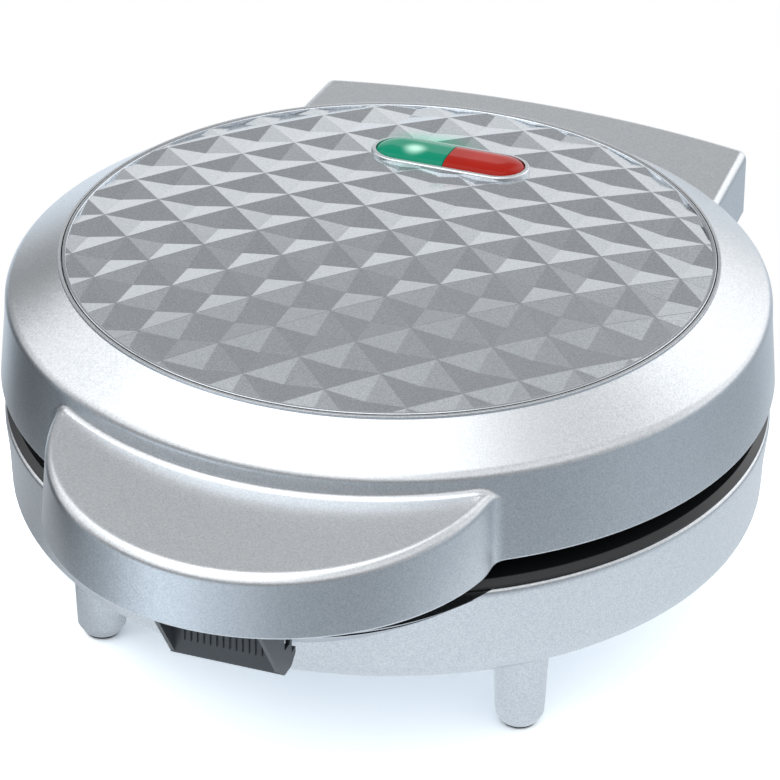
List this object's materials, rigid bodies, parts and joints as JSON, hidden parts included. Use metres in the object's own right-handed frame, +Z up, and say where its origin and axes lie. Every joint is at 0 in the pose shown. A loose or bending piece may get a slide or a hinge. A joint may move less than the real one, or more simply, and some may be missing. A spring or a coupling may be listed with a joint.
{
  "type": "bubble waffle maker",
  "caption": "Round countertop bubble waffle maker with a hinged lid, faceted domed top, twin indicator lenses, half-moon handle and a front latch.",
  "frame": {"origin": "centre of the footprint on the table top, below the middle of the whole appliance", "axes": "+Z up, -Y towards the front with the handle and latch, +X to the right seen from the front"},
  "size_m": [0.2138, 0.278, 0.1079],
  "materials": {
    "silver_housing": "satin silver paint with a fine metallic flake",
    "silver_bezel": "satin silver",
    "faceted_panel": "satin grey metallic, faceted",
    "rubber_feet": "matt",
    "rubber_gland": "matt",
    "nonstick_plate": "dark non-stick coating",
    "sheet_steel": "zinc plated sheet",
    "element_sheath": "heat darkened",
    "ceramic_insulator": "matt",
    "steel_pin": "bright drawn",
    "steel_screw": "zinc plated",
    "green_lens": "glossy translucent",
    "red_lens": "glossy translucent",
    "lamp_glass": "clear",
    "latch_plastic": "fine matt"
  },
  "bodies": {
    "base": {"base_shell": "silver_housing", "foot_pad_front_left": "rubber_feet", "foot_pad_front_right": "rubber_feet", "foot_pad_rear_left": "rubber_feet", "foot_pad_rear_right": "rubber_feet", "lower_cooking_plate": "nonstick_plate", "lower_heat_shield": "sheet_steel", "lower_heating_element": "element_sheath", "thermostat": "ceramic_insulator", "thermal_fuse": "ceramic_insulator", "terminal_block": "ceramic_insulator", "cord_gland": "rubber_gland", "hinge_pin_left": "steel_pin", "hinge_pin_right": "steel_pin", "lower_plate_screw_1": "steel_screw", "lower_plate_screw_2": "steel_screw", "lower_plate_screw_3": "steel_screw"},
    "lid": {"lid_shell": "silver_housing", "top_panel": "faceted_panel", "indicator_bezel": "silver_bezel", "green_lens": "green_lens", "red_lens": "red_lens", "green_lamp": "lamp_glass", "red_lamp": "lamp_glass", "lamp_holder": "ceramic_insulator", "upper_cooking_plate": "nonstick_plate", "upper_heat_shield": "sheet_steel", "upper_heating_element": "element_sheath", "upper_plate_screw_1": "steel_screw", "upper_plate_screw_2": "steel_screw", "upper_plate_screw_3": "steel_screw", "handle_cover": "silver_housing", "handle_cover_screw_left": "steel_screw", "handle_cover_screw_right": "steel_screw", "latch_pin": "steel_pin"},
    "latch": {"latch": "latch_plastic"}
  },
  "joints": [
    {"name": "lid_hinge", "type": "hinge", "parent": "base", "child": "lid", "pos_m": [0, 0.12455, 0.066], "axis": [-1, 0, 0], "range_deg": [0, 95]},
    {"name": "latch_hinge", "type": "hinge", "parent": "lid", "child": "latch", "pos_m": [0, -0.11385, 0.0724], "axis": [-1, 0, 0], "range_deg": [0, 18]}
  ]
}
